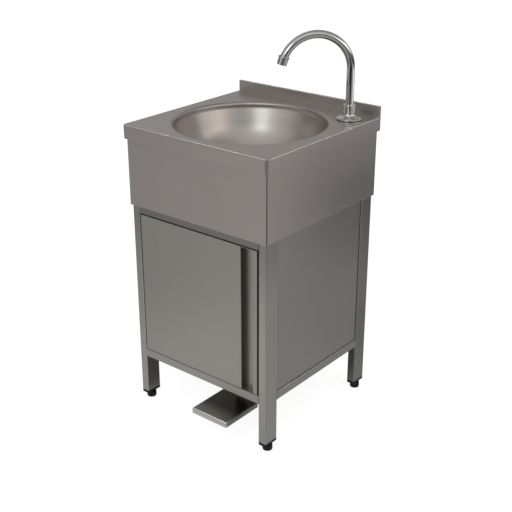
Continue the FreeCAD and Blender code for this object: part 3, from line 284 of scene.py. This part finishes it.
def brass(name):
    s = Shader(name)
    turned = s.noise(1.0, s.stretched((160.0, 160.0, 1500.0)), detail=2.0)
    dull = s.noise(45.0, detail=5.0, rough=0.6)
    s.put("Base Color", s.mix(s.span(dull, 0.0, 1.0, 0.35, 0.7), (0.52, 0.36, 0.15), (0.70, 0.52, 0.24)))
    s.put("Metallic", 1.0)
    s.put("Roughness", s.math("ADD", s.span(dull, 0.22, 0.36, 0.35, 0.7), s.span(turned, -0.03, 0.03)))
    s.normals(s.bump(turned, 0.00004, 0.5))
    return s.mat


def moulded(name, low, high, rough, grain=1500.0, gloss=0.5, depth=0.00005):
    """Injection moulded plastic or rubber: a fine spark-eroded grain and slight marks."""
    s = Shader(name)
    fine = s.noise(grain, detail=2.0, rough=0.6)
    worn = s.noise(30.0, detail=5.0, rough=0.6)
    s.put("Base Color", s.mix(s.span(worn, 0.0, 1.0, 0.35, 0.7), low, high))
    s.put("Metallic", 0.0)
    s.put("Roughness", s.math("ADD", s.span(fine, rough - 0.05, rough + 0.05), s.span(worn, -0.04, 0.05, 0.35, 0.7)))
    s.put("Specular IOR Level", gloss)
    s.normals(s.bump(fine, depth, 0.6))
    return s.mat


def braid_metal(name):
    """Stainless wire braid over a rubber hose."""
    s = Shader(name)
    grime = s.noise(60.0, detail=4.0)
    wires = s.noise(2600.0, detail=1.0)
    s.put("Base Color", s.mix(s.span(grime, 0.0, 1.0, 0.35, 0.7), (0.46, 0.455, 0.45), (0.60, 0.595, 0.585)))
    s.put("Metallic", 1.0)
    s.put("Roughness", s.span(wires, 0.26, 0.42))
    s.normals(s.bump(wires, 0.00006, 0.6))
    return s.mat


# The worktop, bowl and skirt are a warmer sheet than the frame and the door
WARM = (0.500, 0.4625, 0.4390)
COOL = (0.440, 0.4330, 0.4020)


def scaled(tint, k):
    return tuple(c * k for c in tint)


MATS = {
    "deck": satin("steel_deck", WARM, 0.37, grain="x"),
    "sheet_x": satin("steel_skirt", WARM, 0.40, grain="x"),
    "sheet_y": satin("steel_side_skirt", WARM, 0.40, grain="y"),
    # side panels: a darker copy of the frame steel, painted shade of the side turned from the light
    "panel": satin("steel_side_panel_painted_shade", scaled(COOL, 0.94), 0.40, grain="y"),
    "inner": satin("steel_inner_sheet", COOL, 0.42, grain="x"),
    "door": satin("steel_door", COOL, 0.40, grain="z"),
    # front legs: a lighter copy of the frame steel (painted light), with painted shade darkening the top under the
    # skirt from 0.42 to 0.62 m
    "leg": satin("steel_leg_painted_light_and_shade", scaled(COOL, 1.06), 0.36, grain="z", shade=(2, 0.42, 0.62, 0.76)),
    # rear legs: a darker copy of the frame steel, painted shade that is deepest near the floor and eases off from 0.25
    # to 0.60 m up
    "rear_leg": satin("steel_rear_leg_painted_shade", scaled(COOL, 0.72), 0.36, grain="z", shade=(2, 0.25, 0.60, 1.22)),
    # header rail under the skirt: a darker copy of the frame steel, painted shade of the skirt's overhang
    "header": satin("steel_header_painted_shade", scaled(COOL, 0.64), 0.36, grain="x"),
    "tube_x": satin("steel_rail", COOL, 0.36, grain="x"),
    # side rails: a slightly darker copy of the frame steel, painted shade
    "tube_y": satin("steel_side_rail_painted_shade", scaled(COOL, 0.96), 0.36, grain="y"),
    # pedal: a lighter copy of the frame steel (painted light), with a painted shadow of the cabinet along its rear
    # edge
    "pedal": satin("steel_pedal_painted_light_and_shadow", scaled(COOL, 1.45), 0.30, grain="x", shade=(1, -0.252, -0.212, 0.42)),
    "bowl": spun("steel_bowl", WARM, 0.33, round_about=0.12),
    "strainer": spun("steel_strainer", scaled(COOL, 1.1), 0.24, round_about=0.3),
    "chrome": chrome("chrome_plate"),
    "plated": plated("zinc_plate"),
    "brass": brass("turned_brass"),
    "black": moulded("black_moulding", (0.0065, 0.0065, 0.007), (0.011, 0.011, 0.0115), 0.45, gloss=0.25),
    "white": moulded("white_moulding", (0.72, 0.72, 0.70), (0.80, 0.80, 0.785), 0.32),
    "rubber": moulded("grey_rubber", (0.020, 0.020, 0.021), (0.045, 0.044, 0.043), 0.68, grain=900.0, gloss=0.3, depth=0.0001),
    "braid": braid_metal("wire_braid"),
}

FINISH = {
    "deck": "worktop",
    "bowl": "basin_bowl",
    "strainer": "waste_strainer",
    "sheet_x": "apron_front apron_back",
    "sheet_y": "apron_left apron_right",
    "panel": "side_panel_left side_panel_right",
    "inner": "back_panel cabinet_floor door_back_panel",
    "door": "door_skin",
    "leg": "leg_front_left leg_front_right",
    "rear_leg": "leg_rear_left leg_rear_right",
    "header": "rail_front_top",
    "tube_x": "rail_front_bottom rail_rear_bottom",
    "tube_y": "rail_left_bottom rail_right_bottom",
    "pedal": "pedal_plate",
    "chrome": "spout_base spout_collar spout_tube aerator_nut",
    "plated": "bracket_bolts hinge_pins panel_rivets pedal_arm pedal_bracket pedal_pin strike_plate return_spring",
    "brass": "hose_nuts inlet_pipe shank_nut spout_shank valve_body valve_locknut valve_plunger",
    "black": "foot_front_left foot_front_right foot_rear_left foot_rear_right hinge_bushes leg_caps magnet_catch pipe_clip waste_nut",
    "white": "aerator_insert trap_body trap_cup trap_nut waste_pipe waste_tail",
    "rubber": "spout_gasket waste_gasket",
    "braid": "riser_hose",
}


def dress(obj, mat):
    obj.data.materials.clear()
    obj.data.materials.append(mat)


for kind, names in FINISH.items():
    for n in names.split():
        dress(NODES[n], MATS[kind])
for n in NODES:
    if not NODES[n].data.materials:
        raise RuntimeError("no finish for " + n)


# ---------------------------------------------------------------------------
# Pieces with a finer shape than their simple solids: the coil spring under the
# valve, the braided hose inside the cabinet and the threaded inlet pipe
# ---------------------------------------------------------------------------
def carried(points):
    """Two unit vectors across the line at each point, turning as little as possible."""
    pts = [Vector(p) for p in points]
    count = len(pts)
    ahead = [(pts[min(i + 1, count - 1)] - pts[max(i - 1, 0)]).normalized() for i in range(count)]
    side = ahead[0].orthogonal().normalized()
    pairs = []
    for t in ahead:
        side = (side - t * side.dot(t)).normalized()
        pairs.append((side, t.cross(side)))
    return pts, pairs


def swept(bm, points, sides, radius):
    """A closed tube along points. radius(i, k) is its radius at ring i, corner k."""
    pts, pairs = carried(points)
    rings = []
    for i, (p, (a, b)) in enumerate(zip(pts, pairs)):
        ring = []
        for k in range(sides):
            turn = 2 * math.pi * k / sides
            ring.append(bm.verts.new(p + radius(i, k) * (math.cos(turn) * a + math.sin(turn) * b)))
        rings.append(ring)
    for low_ring, high_ring in zip(rings, rings[1:]):
        for k in range(sides):
            j = (k + 1) % sides
            bm.faces.new((low_ring[k], low_ring[j], high_ring[j], high_ring[k]))
    bm.faces.new(tuple(reversed(rings[0])))
    bm.faces.new(tuple(rings[-1]))


def turned(bm, centre, outline, sides, radius=None):
    """A closed ring about an axis along Y through centre. outline lists (y, r) all round
    the section, and radius(y, r, turn) may vary r."""
    cx, cz = centre
    loops = []
    for y, r in outline:
        loop = []
        for k in range(sides):
            turn = 2 * math.pi * k / sides
            rr = radius(y, r, turn) if radius else r
            loop.append(bm.verts.new((cx + rr * math.cos(turn), y, cz + rr * math.sin(turn))))
        loops.append(loop)
    for n, loop in enumerate(loops):
        after = loops[(n + 1) % len(loops)]
        for k in range(sides):
            j = (k + 1) % sides
            bm.faces.new((loop[k], loop[j], after[j], after[k]))


def finer(name, node, mat, body, build, smooth=40.0):
    """A piece that stands for a node and rides on its body."""
    mesh = bpy.data.meshes.new(name)
    bm = bmesh.new()
    build(bm)
    bmesh.ops.recalc_face_normals(bm, faces=bm.faces)
    bm.to_mesh(mesh)
    bm.free()
    for poly in mesh.polygons:
        poly.use_smooth = True
    mesh.set_sharp_from_angle(angle=math.radians(smooth))
    piece = bpy.data.objects.new(name, mesh)
    scene.collection.objects.link(piece)
    dress(piece, mat)
    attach(piece, body)
    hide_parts(node)
    return piece


# Return spring: four working coils between two closed ends
(sx0, sy0, sz0), (sx1, sy1, sz1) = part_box("return_spring")
WIRE = 0.0008
spring_at = Vector(((sx0 + sx1) / 2, (sy0 + sy1) / 2, 0))
spring_r = (sx1 - sx0) / 2 - WIRE


def spring_line():
    turns, steps, line = 5.6, 280, []
    closed = 0.8
    for i in range(steps + 1):
        n = turns * i / steps
        # the end turns lie almost closed, and the pitch opens between them
        rise = 2.1 * WIRE
        if n < closed:
            z = rise * n * 0.9
        elif n > turns - closed:
            z = (sz1 - sz0 - 2 * WIRE) - rise * (turns - n) * 0.9
        else:
            f = (n - closed) / (turns - 2 * closed)
            f = f - 0.055 * math.sin(2 * math.pi * f)
            a, b = rise * closed * 0.9, (sz1 - sz0 - 2 * WIRE) - rise * closed * 0.9
            z = a + (b - a) * f
        line.append((spring_at.x + spring_r * math.cos(2 * math.pi * n),
                     spring_at.y + spring_r * math.sin(2 * math.pi * n), sz0 + WIRE + z))
    return line


spring = finer("return_spring_coil", "return_spring", MATS["plated"], "cabinet",
               lambda bm: swept(bm, spring_line(), 10, lambda i, k: WIRE))
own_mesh(spring)

# Riser hose: a wire braid in two crossing layers over the hose
HOSE_R = 0.0062


def hose_line():
    data = bpy.data.curves.new("hose_route", "CURVE")
    data.dimensions = "3D"
    data.resolution_u = 110
    spline = data.splines.new("NURBS")
    route = ((0.087, -0.050, 0.202), (0.087, -0.050, 0.214), (0.087, -0.050, 0.322),
             (0.1153, 0.0179, 0.4011), (0.1529, 0.1079, 0.5060), (0.193, 0.204, 0.618),
             (0.193, 0.204, 0.771), (0.193, 0.204, 0.788))
    spline.points.add(len(route) - 1)
    for point, at in zip(spline.points, route):
        point.co = (*at, 1.0)
    spline.order_u = 3
    spline.use_endpoint_u = True
    holder = bpy.data.objects.new("hose_route", data)
    mesh = bpy.data.meshes.new_from_object(holder)
    pts = [v.co.copy() for v in mesh.vertices]
    bpy.data.objects.remove(holder)
    bpy.data.curves.remove(data)
    bpy.data.meshes.remove(mesh)
    # even steps along the line
    gaps = [0.0]
    for a, b in zip(pts, pts[1:]):
        gaps.append(gaps[-1] + (b - a).length)
    count, out, j = int(gaps[-1] / 0.00065), [], 0
    for i in range(count + 1):
        s = gaps[-1] * i / count
        while j < len(gaps) - 2 and gaps[j + 1] < s:
            j += 1
        f = (s - gaps[j]) / max(gaps[j + 1] - gaps[j], 1e-9)
        out.append(pts[j].lerp(pts[j + 1], min(max(f, 0.0), 1.0)))
    return out


HOSE_LINE = hose_line()
HOSE_SIDES, STRANDS, LAY = 64, 10, 0.0039
hose_step = sum((b - a).length for a, b in zip(HOSE_LINE, HOSE_LINE[1:])) / (len(HOSE_LINE) - 1)


def braid_radius(i, k):
    round_pos, along_pos = STRANDS * k / HOSE_SIDES, i * hose_step / LAY
    u, v = round_pos + along_pos, round_pos - along_pos
    over = (math.floor(u) + math.floor(v)) % 2 == 0
    crown = abs(math.sin(math.pi * (u if over else v)))
    return HOSE_R - 0.00045 + 0.00045 * crown ** 0.6


finer("riser_hose_braid", "riser_hose", MATS["braid"], "cabinet",
      lambda bm: swept(bm, HOSE_LINE, HOSE_SIDES, braid_radius), smooth=75.0)

# Inlet pipe: tube, union nut and a half-inch thread
(ix0, iy0, iz0), (ix1, iy1, iz1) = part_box("inlet_pipe")
INLET = (0.087, 0.136)
BORE, THREAD, PITCH = 0.0063, 0.010478, 0.001814


def hexed(y, r, turn):
    """Hexagon across the flats, cut back by a chamfer where r is smaller."""
    flat = 0.012
    corner = flat / math.cos(((turn + math.pi / 6) % (math.pi / 3)) - math.pi / 6)
    return min(r, corner)


def threaded(y, r, turn):
    if r < THREAD * 0.9:
        return r
    phase = ((y - 0.252) / PITCH - turn / (2 * math.pi)) % 1.0
    ridge = 1.0 - abs(2.0 * phase - 1.0)
    ridge = min(max(ridge * 1.5 - 0.25, 0.0), 1.0)
    near_end = min(1.0, max(0.0, (iy1 - 0.0003 - y) / 0.0016), max(0.0, (y - 0.2520) / 0.0012))
    return THREAD - 0.00116 + 0.00116 * ridge * near_end


def inlet(bm):
    y0 = iy0
    turned(bm, INLET, [(y0 + 0.0008, BORE), (y0 + 0.0008, 0.0075), (0.2480, 0.0075), (0.2480, BORE)], 48)
    for a, b in ((y0, y0 + 0.012), (0.244, 0.252)):
        turned(bm, INLET, [(a, BORE + 0.0010), (a, 0.0116), (a + 0.0011, 0.01386), (b - 0.0011, 0.01386),
                           (b, 0.0116), (b, BORE + 0.0010)], 96, hexed)
    rings = [(0.2516 + (iy1 - 0.2516) * n / 80, THREAD) for n in range(81)]
    turned(bm, INLET, [(0.2516, BORE)] + rings + [(iy1, BORE)], 56, threaded)


finer("inlet_pipe_threaded", "inlet_pipe", MATS["brass"], "cabinet", inlet, smooth=32.0)


# ---------------------------------------------------------------------------
# Studio. The camera sees a white floor and a white backdrop. What the steel mirrors
# is a softly lit floor and a pale room, with softboxes and dark flags.
# ---------------------------------------------------------------------------
def seen_by(obj, camera=False, diffuse=False, glossy=False, shadow=False):
    obj.visible_camera = camera
    obj.visible_diffuse = diffuse
    obj.visible_glossy = glossy
    obj.visible_transmission = False
    obj.visible_volume_scatter = False
    obj.visible_shadow = shadow


def stage_mesh(name, build, mat, **rays):
    mesh = bpy.data.meshes.new(name)
    bm = bmesh.new()
    build(bm)
    bm.to_mesh(mesh)
    bm.free()
    o = bpy.data.objects.new(name, mesh)
    scene.collection.objects.link(o)
    dress(o, mat)
    seen_by(o, **rays)
    return o


def glow(name, strength, colour=(1.0, 1.0, 1.0)):
    """An even self-lit surface. strength may be a socket made by the function given."""
    s = Shader(name)
    s.tree.nodes.remove(s.bsdf)
    e = s.new("ShaderNodeEmission")
    e.inputs["Color"].default_value = (*colour, 1.0)
    s.feed(e.inputs["Strength"], strength(s) if callable(strength) else strength)
    s.link(e.outputs[0], s.out.inputs["Surface"])
    return s.mat


def floor_paint(name):
    s = Shader(name)
    tooth = s.noise(240.0, detail=2.0)
    drift = s.noise(1.4, detail=4.0)
    s.put("Base Color", s.mix(s.span(drift, 0.0, 1.0, 0.3, 0.7), (0.46, 0.46, 0.46), (0.48, 0.48, 0.48)))
    s.put("Roughness", s.span(tooth, 0.80, 0.9))
    s.put("Specular IOR Level", 0.0)
    s.put("Emission Color", (1.0, 1.0, 1.0, 1.0))
    s.put("Emission Strength", 0.86)
    return s.mat


def spot(s, at, reach, amount, soft=0.0):
    """A round patch of floor light, amount in the middle and nothing beyond reach."""
    x, y, _ = s.axes()
    dx, dy = s.math("SUBTRACT", x, at[0]), s.math("SUBTRACT", y, at[1])
    d = s.math("SQRT", s.math("ADD", s.math("MULTIPLY", dx, dx), s.math("MULTIPLY", dy, dy)))
    return s.span(d, amount, 0.0, reach * soft, reach, smooth=True)


def floor_light(s):
    total = 0.41
    for at, reach, amount, soft in (
            ((-0.15, -0.62), 0.75, 0.20, 0.1),
            ((-1.15, -1.05), 0.75, -0.15, 0.1),
            ((-0.85, -1.85), 1.20, 0.20, 0.2),
            ((-1.55, -2.40), 1.10, 0.20, 0.2),
            ((1.50, 1.05), 0.85, 0.20, 0.1),
            ((1.80, 1.65), 0.80, 0.30, 0.2),
            ((0.45, 0.62), 0.36, -0.10, 0.2),
            ((1.05, 1.75), 0.80, -0.24, 0.35),
            ((1.40, -2.30), 1.00, -0.36, 0.5),
            ((-1.75, 0.45), 1.00, 0.25, 0.1),
            ((-0.30, 1.55), 0.85, 0.22, 0.1),
            ((1.20, -4.10), 1.50, -0.44, 0.7),
            ((2.70, -3.80), 1.70, -0.44, 0.7),
            ((3.70, -2.60), 1.50, -0.44, 0.7),
            ((3.50, 2.85), 1.25, 1.00, 0.45),
            ((-2.00, 3.40), 1.60, -0.34, 0.5)):
        total = s.math("ADD", spot(s, at, reach, amount, soft), total)
    # hardly any light reaches the floor under the cabinet, and the room's far end is dark
    x, y, _ = s.axes()
    beside = s.span(s.math("ABSOLUTE", x), 1.0, 0.0, 0.13, 0.24, smooth=True)
    behind = s.span(s.math("ABSOLUTE", s.math("SUBTRACT", y, 0.035)), 1.0, 0.0, 0.20, 0.31, smooth=True)
    total = s.math("MULTIPLY", total, s.span(s.math("MULTIPLY", beside, behind), 1.0, 0.12))
    away = s.math("SQRT", s.math("ADD", s.math("MULTIPLY", x, x), s.math("MULTIPLY", y, y)))
    total = s.math("MULTIPLY", total, s.span(away, 1.0, 0.20, 5.6, 9.0, smooth=True))
    return s.math("MAXIMUM", total, 0.03)


stage_mesh("floor", lambda bm: bmesh.ops.create_grid(bm, x_segments=16, y_segments=16, size=16.0),
           floor_paint("pale_floor"), camera=True, diffuse=True)
mirrored = stage_mesh("floor_mirrored", lambda bm: bmesh.ops.create_grid(bm, x_segments=16, y_segments=16, size=16.0),
                      glow("floor_light", floor_light), glossy=True)
mirrored.location.z = -0.002
stage_mesh("backdrop", lambda bm: bmesh.ops.create_uvsphere(bm, u_segments=48, v_segments=24, radius=19.0),
           glow("backdrop_white", 1.05), camera=True)


def card(name, low, high, strength, colour=(1.0, 1.0, 1.0)):
    """An upright flat card from one floor point to another, seen only in reflections."""
    (x0, y0, z0), (x1, y1, z1) = low, high

    def build(bm):
        steps = 6
        rows = [[bm.verts.new((x0 + (x1 - x0) * i / steps, y0 + (y1 - y0) * i / steps, z)) for i in range(steps + 1)]
                for z in (z0, z1)]
        for i in range(steps):
            bm.faces.new((rows[0][i], rows[0][i + 1], rows[1][i + 1], rows[1][i]))
    return stage_mesh(name, build, glow(name + "_face", strength, colour), glossy=True)


card("flag_right", (0.78, 0.52, 0.10), (0.60, 1.55, 0.58), 0.16)


def room_light():
    world = bpy.data.worlds.new("studio")
    scene.world = world
    world.use_nodes = True
    tree = world.node_tree
    tree.nodes.clear()

    def new(kind, **settings):
        n = tree.nodes.new(kind)
        for key, value in settings.items():
            setattr(n, key, value)
        return n

    def op(kind, a, b):
        n = new("ShaderNodeMath", operation=kind)
        for i, v in enumerate((a, b)):
            if isinstance(v, bpy.types.NodeSocket):
                tree.links.new(v, n.inputs[i])
            else:
                n.inputs[i].default_value = v
        return n.outputs[0]

    coord = new("ShaderNodeTexCoord").outputs["Generated"]
    xyz = new("ShaderNodeSeparateXYZ")
    tree.links.new(coord, xyz.inputs[0])
    ramp = new("ShaderNodeValToRGB")
    tree.links.new(xyz.outputs["Z"], ramp.inputs["Fac"])
    r = ramp.color_ramp
    r.interpolation = "EASE"
    r.elements[0].position, r.elements[0].color = 0.0, (0.50, 0.50, 0.50, 1)
    r.elements[1].position, r.elements[1].color = 1.0, (0.34, 0.34, 0.345, 1)
    for place, tone in ((0.40, 0.56), (0.62, 0.43)):
        e = r.elements.new(place)
        e.color = (tone, tone, tone, 1)

    def lobe(azimuth, elevation, wide, amount):
        a, e = math.radians(azimuth), math.radians(elevation)
        d = new("ShaderNodeVectorMath", operation="DOT_PRODUCT")
        tree.links.new(coord, d.inputs[0])
        d.inputs[1].default_value = (math.cos(a) * math.cos(e), math.sin(a) * math.cos(e), math.sin(e))
        m = new("ShaderNodeMapRange", clamp=True, interpolation_type="SMOOTHSTEP")
        tree.links.new(d.outputs["Value"], m.inputs["Value"])
        for key, v in (("From Min", math.cos(math.radians(wide))), ("From Max", 1.0),
                       ("To Min", 0.0), ("To Max", amount)):
            m.inputs[key].default_value = v
        return m.outputs["Result"]

    total = op("MULTIPLY", ramp.outputs["Color"], 1.0)
    for args in ((150.0, 22.0, 40.0, 0.08), (112.0, 22.0, 30.0, -0.06), (-160.0, 4.0, 42.0, -0.30),
                 (-62.0, 22.0, 82.0, 0.48), (-46.0, 3.0, 32.0, -0.55), (-62.0, 8.0, 18.0, -0.35)):
        total = op("ADD", total, lobe(*args))
    # the room is dark down at the horizon
    low = new("ShaderNodeMapRange", clamp=True, interpolation_type="SMOOTHSTEP")
    up = new("ShaderNodeSeparateXYZ")
    tree.links.new(coord, up.inputs[0])
    tree.links.new(up.outputs["Z"], low.inputs["Value"])
    for key, v in (("From Min", 0.02), ("From Max", 0.15), ("To Min", 0.30), ("To Max", 1.0)):
        low.inputs[key].default_value = v
    total = op("MULTIPLY", total, low.outputs["Result"])
    back = new("ShaderNodeBackground")
    tree.links.new(op("MAXIMUM", total, 0.02), back.inputs["Strength"])
    tree.links.new(back.outputs[0], new("ShaderNodeOutputWorld").inputs["Surface"])


room_light()


def softbox(name, at, aim, wide, high, radiance, colour=(1.0, 1.0, 1.0)):
    """A rectangular softbox. radiance is how bright its face is, where 1 is white."""
    light = bpy.data.lights.new(name, "AREA")
    light.shape = "RECTANGLE"
    light.size, light.size_y = wide, high
    light.energy = radiance * math.pi * wide * high
    light.color = colour
    o = bpy.data.objects.new(name, light)
    scene.collection.objects.link(o)
    o.location = at
    o.rotation_mode = "QUATERNION"
    o.rotation_quaternion = (Vector(aim) - Vector(at)).to_track_quat("-Z", "Y")
    o.visible_camera = False
    return o


def along(start, azimuth, elevation, far):
    a, e = math.radians(azimuth), math.radians(elevation)
    return Vector(start) + far * Vector((math.cos(a) * math.cos(e), math.sin(a) * math.cos(e), math.sin(e)))


BOWL = (-0.13, 0.14, 0.80)
softbox("softbox_front", along(BOWL, -68.0, 24.0, 2.6), BOWL, 0.85, 0.62, 3.0, (0.90, 1.0, 1.0))
softbox("softbox_right", along(BOWL, 14.0, 20.0, 2.5), BOWL, 2.0, 0.7, 1.15, (1.0, 0.93, 0.87))
edge = softbox("softbox_back", along((0.25, 0.0, 0.85), 61.0, 35.5, 2.5), (0.25, 0.0, 0.85), 0.6, 0.6, 7.0)
edge_left = softbox("softbox_left", along((0.0, -0.22, 0.85), -172.0, 55.0, 2.5), (0.0, -0.22, 0.85), 0.7, 0.7, 7.0, (1.0, 0.95, 0.92))

# The two lights that draw the worktop's edges are flagged off the tap and the bowl
lit = bpy.data.collections.new("lit_by_edge_lights")
for n, o in NODES.items():
    if n not in FINISH["chrome"].split() + ["basin_bowl"]:
        lit.objects.link(o)
for light in (edge, edge_left):
    light.light_linking.receiver_collection = lit
